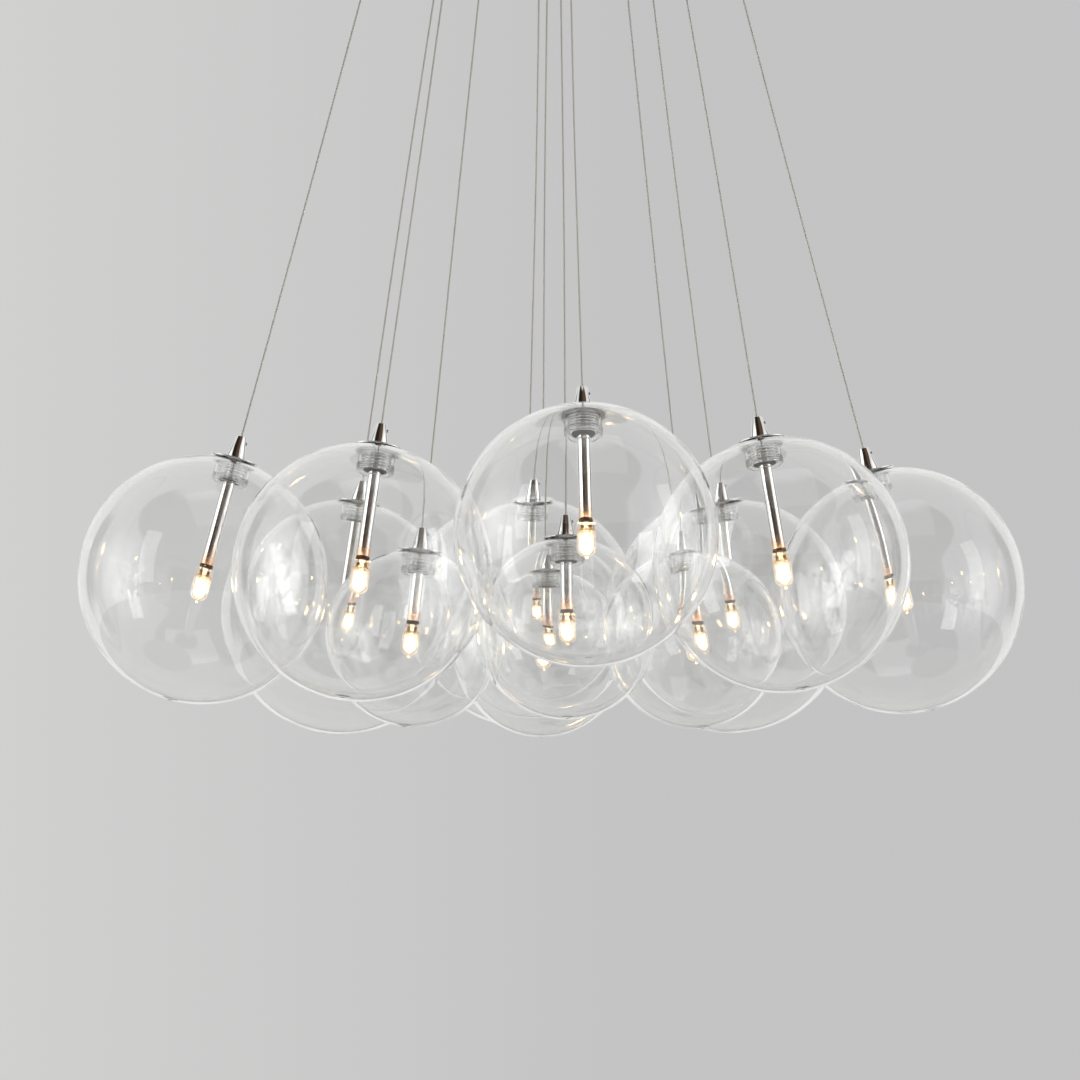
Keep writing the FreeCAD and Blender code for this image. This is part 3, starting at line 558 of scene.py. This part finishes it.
def lampCapsule():
    # a closed skin, and a lining that faces into the hollow
    s = capsuleSizes
    outer, outerLow = capsuleOutline(0.0)
    inner, innerLow = capsuleOutline(s["wall"])
    endRadius, endUp = s["pipEnd"]
    outer += [(r, outerLow - down) for r, down in s["pip"]] + [(endRadius, lampLow() + endUp), (0, lampLow())]
    skin = turned(outer, finishes["quartz"], 40)
    lining = turned(list(reversed(inner + [(0, innerLow)])), finishes["quartz"], 40)
    lining.flip_normals()
    return joined([skin, lining], "capsule")


def lampPinch():
    s = pinchSizes
    middle = (0, 0, lampTop() - s["height"] / 2)
    return softBlock(s["width"], s["thick"], s["height"], middle, s["edge"], finishes["quartz"])


# topInset and lowInset are shares of the inset, shoulder is one of the radius
glowSizes = {"radius": 3.5, "top": 0.6, "bottom": -10.6, "coreInset": 1.0, "topInset": 1.8, "lowInset": 0.6,
             "shoulder": 0.6}


def glowOutline(inset):
    s = glowSizes
    r = s["radius"] - inset
    top = s["top"] - inset * s["topInset"]
    shoulder = r * s["shoulder"]
    return ([(0, top)] + arc(r - shoulder, top - shoulder, shoulder, 90, 0, 8)
            + arc(0, s["bottom"] + inset * s["lowInset"] + r, r, 0, -90, 10))


def joined(meshes, name):
    # several meshes as one, each with its own material and own places kept
    work = bpy.data.meshes.new(name)
    both = bmesh.new()
    for mesh in meshes:
        if mesh.materials[0] not in list(work.materials):
            work.materials.append(mesh.materials[0])
        before = len(both.faces)
        both.from_mesh(mesh)
        both.faces.ensure_lookup_table()
        for face in both.faces[before:]:
            face.material_index = list(work.materials).index(mesh.materials[0])
    both.to_mesh(work)
    both.free()
    return work


def softBlock(x, y, z, centre, bevel, material):
    # a block with rolled edges, in millimetres
    work = bmesh.new()
    bmesh.ops.create_cube(work, size=1.0)
    bmesh.ops.scale(work, vec=(x, y, z), verts=work.verts)
    bmesh.ops.bevel(work, geom=work.edges, offset=bevel, segments=3, profile=0.5, affect="EDGES")
    bmesh.ops.translate(work, vec=centre, verts=work.verts)
    bmesh.ops.scale(work, vec=(mm, mm, mm), verts=work.verts)
    mesh = bpy.data.meshes.new("block")
    work.to_mesh(mesh)
    work.free()
    mesh.materials.append(material)
    for face in mesh.polygons:
        face.use_smooth = True
    return facedOut(mesh, sharpAngle=60.0)


def coilTree():
    tree = newTree("filament", [("Turns", "NodeSocketFloat", 9.0), ("Coil Radius", "NodeSocketFloat", 0.0007),
                                ("Length", "NodeSocketFloat", 0.0033), ("Wire", "NodeSocketFloat", 0.00012),
                                ("Material", "NodeSocketMaterial", None)])
    given = put(tree, "NodeGroupInput").outputs
    spiral = put(tree, "GeometryNodeCurveSpiral", {"Resolution": 14, "Rotations": given["Turns"],
                                                   "Start Radius": given["Coil Radius"],
                                                   "End Radius": given["Coil Radius"],
                                                   "Height": given["Length"]})
    wire = put(tree, "GeometryNodeCurvePrimitiveCircle", {"Resolution": 6, "Radius": given["Wire"]})
    swept = put(tree, "GeometryNodeCurveToMesh", {"Curve": spiral.outputs[0],
                                                  "Profile Curve": wire.outputs[0], "Fill Caps": True})
    real = put(tree, "GeometryNodeRealizeInstances", {"Geometry": swept.outputs[0]})
    coated = put(tree, "GeometryNodeSetMaterial", {"Geometry": real.outputs[0],
                                                   "Material": given["Material"]})
    put(tree, "NodeGroupOutput", {"Geometry": coated.outputs[0]})
    return tree


pinSizes = {"radius": 0.35, "pitch": 4.0, "top": 6.4, "pointFrom": 6.1, "point": 0.7, "buried": 1.0}
foilSizes = {"width": 1.7, "length": 3.4, "thick": 0.2, "edge": 0.08, "belowTop": 1.2}
leadSizes = {"radius": 0.22, "point": 0.3}
coilSizes = {"radius": 0.6, "wire": 0.14, "turns": 8.0, "belowPinch": 5.6, "endGap": 0.4}


def coilHeight():
    return lampTop() - pinchSizes["height"] - coilSizes["belowPinch"]


def lampPins():
    # two pins, their foils in the pinch and the leads down to the coil
    top, low = lampTop(), coilHeight()
    pinRadius, leadRadius = pinSizes["radius"], leadSizes["radius"]
    pinTop, pinLow = top + pinSizes["top"], top - pinSizes["buried"]
    foilZ = top - foilSizes["belowTop"] - foilSizes["length"] / 2
    pinOutline = [(0, pinTop), (pinRadius * pinSizes["point"], pinTop),
                  (pinRadius, top + pinSizes["pointFrom"]), (pinRadius, pinLow), (0, pinLow)]
    leadOutline = [(0, foilZ), (leadRadius, foilZ), (leadRadius, low), (0, low - leadSizes["point"])]
    parts = []
    for side in (-1, 1):
        x = side * pinSizes["pitch"] / 2
        pin = turned(pinOutline, finishes["foil"], 12)
        lead = turned(leadOutline, finishes["foil"], 10)
        for mesh in (pin, lead):
            mesh.transform(Matrix.Translation((x * mm, 0, 0)))
        foil = softBlock(foilSizes["width"], foilSizes["thick"], foilSizes["length"], (x, 0, foilZ),
                         foilSizes["edge"], finishes["foil"])
        parts += [pin, foil, lead]
    return joined(parts, "pins")


def lampCoil():
    # the coil lies across, between the two leads
    s = coilSizes
    length = pinSizes["pitch"] - s["endGap"]
    blank = bpy.data.meshes.new("blank")
    mesh = facedOut(runTree(coil, blank, {"Turns": s["turns"], "Coil Radius": s["radius"] * mm,
                                          "Length": length * mm, "Wire": s["wire"] * mm,
                                          "Material": finishes["coil"]}))
    sideways(mesh)
    mesh.transform(Matrix.Translation((-length / 2 * mm, 0, coilHeight() * mm)))
    return mesh


lathe = latheTree()
coil = coilTree()
coreLook = {"hot": (1.0, 0.74, 0.40), "warm": (1.0, 0.55, 0.22), "strength": 44.0, "ends": 8.0,
            "density": 0.9}
glowLook = {"hot": (1.0, 0.58, 0.22), "warm": (1.0, 0.42, 0.12), "strength": 1.5, "ends": 0.35,
            "density": 0.32}
finishes = {
    "chrome": chromeFinish(),
    "stem": chromeFinish("stemChrome", stemSizes["paintedGlowReach"]),
    "glass": globeGlass(),
    "collar": collarGlass(),
    "quartz": lampGlass(),
    "core": glowFinish("lampCore", coreLook),
    "glow": glowFinish("lampGlow", glowLook),
    "coil": coilFinish(),
    "cord": cordFinish(),
    # two colours, roughness, metallic, then the scales of the patches and the grain
    "rubber": metalFinish("washerRubber", (0.016, 0.014, 0.013), (0.03, 0.027, 0.024), 0.55, 0.0, 600.0,
                          2600.0),
    "socket": metalFinish("socketCeramic", (0.045, 0.022, 0.012), (0.02, 0.011, 0.008), 0.32, 0.0, 700.0,
                          3000.0),
    "thread": metalFinish("threadedSteel", (0.30, 0.29, 0.27), (0.20, 0.19, 0.18), 0.35, 1.0, 500.0, 2500.0),
    "foil": metalFinish("lampFoil", (0.10, 0.075, 0.055), (0.30, 0.17, 0.07), 0.4, 0.8, 900.0, 3000.0),
    "zinc": metalFinish("zincPlate", (0.60, 0.61, 0.62), (0.52, 0.54, 0.53), 0.34, 1.0, 90.0, 1800.0),
    "case": metalFinish("caseMoulding", (0.86, 0.86, 0.84), (0.82, 0.82, 0.80), 0.5, 0.0, 60.0, 1500.0),
    "terminal": metalFinish("terminalMoulding", (0.88, 0.87, 0.82), (0.84, 0.83, 0.79), 0.35, 0.0, 80.0,
                            1600.0),
}
print("finishes made:", len(finishes))


# what each size of pendant is made of, about +Z with the globe's centre at the origin

def pendantPieces(radius):
    under = discUnderside(radius)
    base = under + discSizes["thick"]
    washerTop = under - collarSizes["length"]
    washerLow = washerTop - washerSizes["thick"]
    nippleTop, nippleLow = base + nippleSizes["entry"], washerLow - nippleSizes["entry"]
    stem = stemSizes["radius"]
    socketTop = socketSizes["face"] + socketSizes["ring"]
    segments = globeSizes["largeSegments" if radius > globeSizes["largeFrom"] else "smallSegments"]
    washer = ringOutline(stem + washerSizes["slack"], washerSizes["radius"], washerLow, washerTop,
                         washerSizes["edge"])
    tube = ringOutline(stem - stemSizes["wall"], stem, socketTop, under - stemSizes["topGap"],
                       stemSizes["edge"])
    return {
        "glassGlobe": ("globe", "clear_glass", turned(globeOutline(radius), finishes["glass"], segments)),
        "gripCone": ("holder", "polished_metal", turned(coneOutline(base), finishes["chrome"], 56)),
        "coverDisc": ("holder", "polished_metal", turned(discOutline(under), finishes["chrome"], 72)),
        "setScrew": ("holder", "polished_metal", coneScrew(base)),
        "threadCollar": ("holder", "clear_glass", turned(
            collarOutline(under), finishes["collar"], 56, closed=True, ribs=collarRibs(under))),
        "collarWasher": ("holder", "case_plastic", turned(washer, finishes["rubber"], 48, closed=True)),
        "nipple": ("holder", "plated_steel", turned(
            nippleOutline(nippleLow, nippleTop), finishes["thread"], 32, closed=True,
            ribs=nippleThread(nippleTop))),
        "stemTube": ("holder", "polished_metal", turned(tube, finishes["stem"], 48, closed=True)),
        "lampSocket": ("holder", "terminal_plastic", turned(socketOutline(), finishes["socket"], 40)),
        "lampCapsule": ("lamp", "lamp_glass", lampCapsule()),
        "lampPinch": ("lamp", "lamp_glass", lampPinch()),
        "lampGlow": ("lamp", "lamp_glass", turned(glowOutline(0.0), finishes["glow"], 32)),
        "lampCore": ("lamp", "lamp_glass", turned(glowOutline(glowSizes["coreInset"]), finishes["core"], 24)),
        "lampPins": ("lamp", "plated_steel", lampPins()),
        "lampCoil": ("lamp", "plated_steel", lampCoil()),
    }


joints = {joint["name"]: joint for joint in frame["record"]["behaviour"]["joints"]}
names = [name.removeprefix("lower_globe_") for name in joints if name.startswith("lower_globe_")]


def pendantPlace(name):
    # the globe's centre and lean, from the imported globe's box and its slide's direction
    low, high = (Vector(corner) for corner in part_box("globe_" + name))
    radius = round((high.x - low.x) / 2 / mm)
    down = Vector(joints["lower_globe_" + name]["axis"]).normalized()
    lean = math.acos(-down.z)
    seal = radius + globeSizes["sealHeight"]
    reach = max(radius, seal * math.cos(lean) + globeSizes["sealRadius"] / 2 * math.sin(lean))
    centre = Vector(((low.x + high.x) / 2, (low.y + high.y) / 2, low.z + reach * mm))
    turn = Vector((0, 0, 1)).rotation_difference(-down).to_matrix().to_4x4()
    return radius, Matrix.Translation(centre) @ turn


def addPiece(name, mesh, body, slot, *nodes):
    piece = bpy.data.objects.new(name, mesh)
    bpy.context.collection.objects.link(piece)
    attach(piece, body)
    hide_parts(*nodes)
    return piece


def holderBody(name):
    return "canopy" if name.startswith("inner_") else "pendant_" + name


kits = {}
for name in names:
    radius, place = pendantPlace(name)
    if radius not in kits:
        kits[radius] = pendantPieces(radius)
        print("pieces of a", 2 * radius, "mm pendant made:", len(kits[radius]))
    bodies = {"globe": "globe_" + name, "lamp": "lamp_" + name, "holder": holderBody(name)}
    for word, (node, slot, template) in kits[radius].items():
        mesh = template.copy()
        mesh.transform(place)
        addPiece(word + "_" + name, mesh, bodies[node], slot, node + "_" + name)
print("pendants hung:", len(names))


# cords, from the grips in the canopy to the cones: length and route, in metres

cordSizes = {"diameter": 0.0012, "topZ": -0.0387, "roundness": 3, "bendOrder": 3, "bendSteps": 16}
cordRoutes = {
    "front": (0.3014, [(0, -0.0985), (-0.0008, -0.1253, -0.1365), (-0.0006, -0.1517, -0.2355),
                       (0, -0.17618, -0.32987)]),
    "right": (0.3101, [(0.0985, 0), (0.1246, 0.0008, -0.1410), (0.1510, 0.0009, -0.2415),
                       (0.17666, 0, -0.33874)]),
    "back": (0.3052, [(0, 0.0985), (0.0009, 0.1253, -0.1385), (0.0006, 0.1519, -0.2395),
                      (0, 0.17640, -0.33381)]),
    "left": (0.3072, [(-0.0985, 0), (-0.1247, 0.0009, -0.1400), (-0.1510, 0.0006, -0.2405),
                      (-0.17650, 0, -0.33579)]),
    "front_right": (0.3026, [(0.0601, -0.0601), (0.0754, -0.0740, -0.1390), (0.0896, -0.0886, -0.2395),
                             (0.10280, -0.10280, -0.33522)]),
    "back_right": (0.3085, [(0.0601, 0.0601), (0.0743, 0.0755, -0.1420), (0.0888, 0.0897, -0.2435),
                            (0.10297, 0.10297, -0.34117)]),
    "back_left": (0.3105, [(-0.0601, 0.0601), (-0.0754, 0.0743, -0.1430), (-0.0897, 0.0889, -0.2445),
                           (-0.10303, 0.10303, -0.34315)]),
    "front_left": (0.3085, [(-0.0601, -0.0601), (-0.0742, -0.0754, -0.1420), (-0.0888, -0.0896, -0.2435),
                            (-0.10297, -0.10297, -0.34117)]),
    "inner_front": (0.3497, [(0, -0.0385), (0.0007, -0.0496, -0.1540), (0.0009, -0.0613, -0.2695),
                             (0, -0.07317, -0.38664)]),
    "inner_right": (0.3487, [(0.0385, 0), (0.0496, -0.0008, -0.1535), (0.0613, -0.0006, -0.2690),
                             (0.07315, 0, -0.38565)]),
    "inner_back": (0.3487, [(0, 0.0385), (-0.0008, 0.0502, -0.1535), (-0.0005, 0.0618, -0.2690),
                            (0, 0.07315, -0.38565)]),
    "inner_left": (0.3487, [(-0.0385, 0), (-0.0502, -0.0006, -0.1535), (-0.0618, -0.0009, -0.2690),
                            (-0.07315, 0, -0.38565)]),
}


def hangCord(name, route):
    top = (*route[0], cordSizes["topZ"])
    points = [top] + route[1:]
    curve = bpy.data.curves.new("cord", "CURVE")
    curve.dimensions = "3D"
    curve.bevel_depth = cordSizes["diameter"] / 2
    curve.bevel_resolution = cordSizes["roundness"]
    curve.use_fill_caps = True
    spline = curve.splines.new("NURBS")
    spline.points.add(len(points) - 1)
    for point, place in zip(spline.points, points):
        point.co = (*place, 1.0)
    spline.order_u = cordSizes["bendOrder"]
    spline.use_endpoint_u = True
    spline.resolution_u = cordSizes["bendSteps"]
    curve.materials.append(finishes["cord"])
    piece = addPiece("hangingCord_" + name, curve, holderBody(name), "cord", "cord_" + name)


for name, (length, route) in cordRoutes.items():
    hangCord(name, route)
print("cords hung:", len(cordRoutes))


# canopy and what it holds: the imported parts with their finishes

canopyFinishes = {"canopy_cover": "chrome", "cap_nuts": "chrome", "cord_grips": "chrome",
                  "grip_nuts": "zinc", "mounting_bar": "zinc", "canopy_studs": "zinc", "earth_screw": "zinc",
                  "gear_fixings": "zinc", "transformer_left": "case", "transformer_right": "case",
                  "mains_block": "terminal", "lamp_blocks": "terminal"}
for node, finish in canopyFinishes.items():
    for materialSlot in frame["nodes"][node].material_slots:
        materialSlot.material = finishes[finish]
print("canopy parts finished:", len(canopyFinishes))


# room: pale floor, soft light from both sides, and a dark wall behind the camera

floorSizes = {"height": -6.0, "radius": 20.0, "colour": (0.80, 0.80, 0.79), "patch": (0.77, 0.77, 0.76),
              "patchScale": 1.5, "roughness": 0.8}


def paleFloor():
    s = floorSizes
    work = bmesh.new()
    bmesh.ops.create_circle(work, cap_ends=True, segments=64, radius=s["radius"])
    mesh = bpy.data.meshes.new("floor")
    work.to_mesh(mesh)
    work.free()
    mesh.transform(Matrix.Translation((0, 0, s["height"])))
    material, tree, shader = newMaterial("floorPaint", s["colour"], s["roughness"])
    tree.links.new(mixColours(tree, objectNoise(tree, s["patchScale"]), s["colour"], s["patch"]),
                   shader.inputs["Base Color"])
    mesh.materials.append(material)
    floor = bpy.data.objects.new("floor", mesh)
    bpy.context.collection.objects.link(floor)


# angles are in degrees round from straight behind the object, heights are of a direction's Z
backdrop = {"left": (0.64, 0.64, 0.635), "right": (0.55, 0.55, 0.55), "change": (-0.03, 0.10)}
paleWalls = {"turn": 4.78, "colour": (1.0, 1.0, 0.99), "behind": 0.88, "sides": 0.89}
jambs = {"between": (49.0, 63.0), "outside": 4.0, "inside": 1.0, "low": (-0.25, 0.0), "high": (0.62, 0.40),
         "depth": 0.85}
windows = {"between": (84.0, 116.0), "outside": 12.0, "inside": 8.0, "heights": (-0.25, 0.42), "soft": 0.2,
           "left": 1.3, "right": 1.0}
darkWall = {"turn": 13.5, "half": 45.0, "soft": 3.0, "spread": 40.0, "spreadHeights": (0.35, 0.90),
            "dark": (0.022, 0.017, 0.014), "brown": (0.125, 0.078, 0.050), "change": (-0.35, 0.25)}
ceiling = {"colour": (0.85, 0.85, 0.84), "heights": (0.93, 0.99)}


def times(tree, first, second):
    return maths(tree, "MULTIPLY", first, second)


def band(tree, value, between, outside, inside):
    # 1 between two edges, fading over a width on each side of them
    low, high = between
    return times(tree, fade(tree, value, low - outside, low + inside),
                 fade(tree, value, high + outside, high - inside))


def bearing(tree, direction, turn):
    # how far round a direction lies: 0 straight behind the object, 180 straight before it
    turn = math.radians(turn)
    along, aside = [put(tree, "ShaderNodeVectorMath", {0: direction, 1: axis}, operation="DOT_PRODUCT")
                    .outputs["Value"] for axis in ((math.sin(turn), math.cos(turn), 0.0),
                                                   (math.cos(turn), -math.sin(turn), 0.0))]
    angle = maths(tree, "ARCTAN2", aside, along)
    return times(tree, maths(tree, "ABSOLUTE", angle), 180 / math.pi), aside


def plainLight(tree, colour, strength=1.0):
    return put(tree, "ShaderNodeBackground", {"Color": colour, "Strength": strength}).outputs[0]


def reflectedRoom(tree, direction, height):
    # pale walls with two dark jambs and a soft tall window on each side, a dark wall and a pale ceiling
    around, aside = bearing(tree, direction, paleWalls["turn"])
    level = ranged(tree, around, *jambs["between"], paleWalls["behind"], paleWalls["sides"])
    jamb = band(tree, around, jambs["between"], jambs["outside"], jambs["inside"])
    tall = times(tree, fade(tree, height, *jambs["low"]), fade(tree, height, *jambs["high"]))
    jamb = times(tree, jamb, tall)
    level = times(tree, level, maths(tree, "SUBTRACT", 1.0, times(tree, jamb, jambs["depth"])))
    window = times(tree, band(tree, around, windows["between"], windows["outside"], windows["inside"]),
                   band(tree, height, windows["heights"], windows["soft"], windows["soft"]))
    strength = ranged(tree, aside, -windows["soft"], windows["soft"], windows["left"], windows["right"])
    level = maths(tree, "ADD", level, times(tree, window, strength))
    edge = 180.0 - darkWall["half"]
    wider = times(tree, fade(tree, height, *darkWall["spreadHeights"]), darkWall["spread"])
    aroundWall = maths(tree, "ADD", bearing(tree, direction, darkWall["turn"])[0], wider)
    wall = fade(tree, aroundWall, edge - darkWall["soft"], edge + darkWall["soft"])
    brown = mixColours(tree, fade(tree, aside, *darkWall["change"]), darkWall["dark"], darkWall["brown"])
    pale = plainLight(tree, (*paleWalls["colour"], 1.0), level)
    walls = put(tree, "ShaderNodeMixShader", {0: wall, 1: pale, 2: plainLight(tree, brown)}).outputs[0]
    return put(tree, "ShaderNodeMixShader", {0: fade(tree, height, *ceiling["heights"]), 1: walls,
                                             2: plainLight(tree, (*ceiling["colour"], 1.0))}).outputs[0]


def roomWorld():
    # the camera, straight or through clear glass, sees a pale backdrop; surfaces reflect the room round it
    world = bpy.data.worlds.new("room")
    bpy.context.scene.world = world
    world.use_nodes = True
    tree = world.node_tree
    tree.nodes.clear()
    direction = put(tree, "ShaderNodeTexCoord").outputs["Generated"]
    parts = put(tree, "ShaderNodeSeparateXYZ", {0: direction}).outputs
    across = ranged(tree, parts["X"], *backdrop["change"])
    behind = plainLight(tree, mixColours(tree, across, backdrop["left"], backdrop["right"]))
    rays = put(tree, "ShaderNodeLightPath").outputs
    bounced = maths(tree, "MINIMUM", maths(tree, "ADD", rays["Glossy Depth"], rays["Diffuse Depth"]), 1.0)
    through = times(tree, rays["Is Transmission Ray"], maths(tree, "SUBTRACT", 1.0, bounced))
    seen = maths(tree, "MAXIMUM", rays["Is Camera Ray"], through)
    reflected = reflectedRoom(tree, direction, parts["Z"])
    mix = put(tree, "ShaderNodeMixShader", {0: seen, 1: reflected, 2: behind})
    put(tree, "ShaderNodeOutputWorld", {"Surface": mix.outputs[0]})


clusterMiddle = (0.0, 0.0, -0.42)
lights = {
    "windowLeft": {"place": (-1.7, -1.1, 0.1), "size": (0.55, 1.5), "power": 7.0, "colour": (1.0, 1.0, 1.0)},
    "windowRight": {"place": (1.8, -0.7, 0.0), "size": (0.5, 1.4), "power": 5.0, "colour": (1.0, 0.99, 0.97)},
    "ceilingBounce": {"place": (0.2, -0.9, 1.6), "size": (1.6, 1.6), "power": 7.0, "colour": (1.0, 1.0, 1.0)},
}


def softLight(name, look):
    light = bpy.data.lights.new(name, "AREA")
    light.shape = "RECTANGLE"
    light.size, light.size_y = look["size"]
    light.energy = look["power"]
    light.color = look["colour"]
    lamp = bpy.data.objects.new(name, light)
    place = Vector(look["place"])
    lamp.location = place
    lamp.rotation_euler = (Vector(clusterMiddle) - place).to_track_quat("-Z", "Y").to_euler()
    lamp.visible_glossy = False
    bpy.context.collection.objects.link(lamp)


paleFloor()
roomWorld()
for name, look in lights.items():
    softLight(name, look)
print("room lit")

view = {"place": (-0.2473, -2.8636, -0.6973), "turn": 4.78, "tilt": 6.045, "lens": 170.55, "sensor": 36.0}
bounces = {"glass": 28, "clear": 24}        # enough for globes that stand one behind another
camera = bpy.data.cameras.new("camera")
camera.lens = view["lens"]
camera.sensor_width = view["sensor"]
cameraObject = bpy.data.objects.new("camera", camera)
cameraObject.location = view["place"]
cameraObject.rotation_euler = (math.radians(90 + view["tilt"]), 0, math.radians(-view["turn"]))
bpy.context.collection.objects.link(cameraObject)
scene = bpy.context.scene
scene.camera = cameraObject
scene.view_settings.view_transform = "Standard"
scene.cycles.max_bounces = bounces["glass"]
scene.cycles.transmission_bounces = bounces["glass"]
scene.cycles.transparent_max_bounces = bounces["clear"]
print("camera placed")
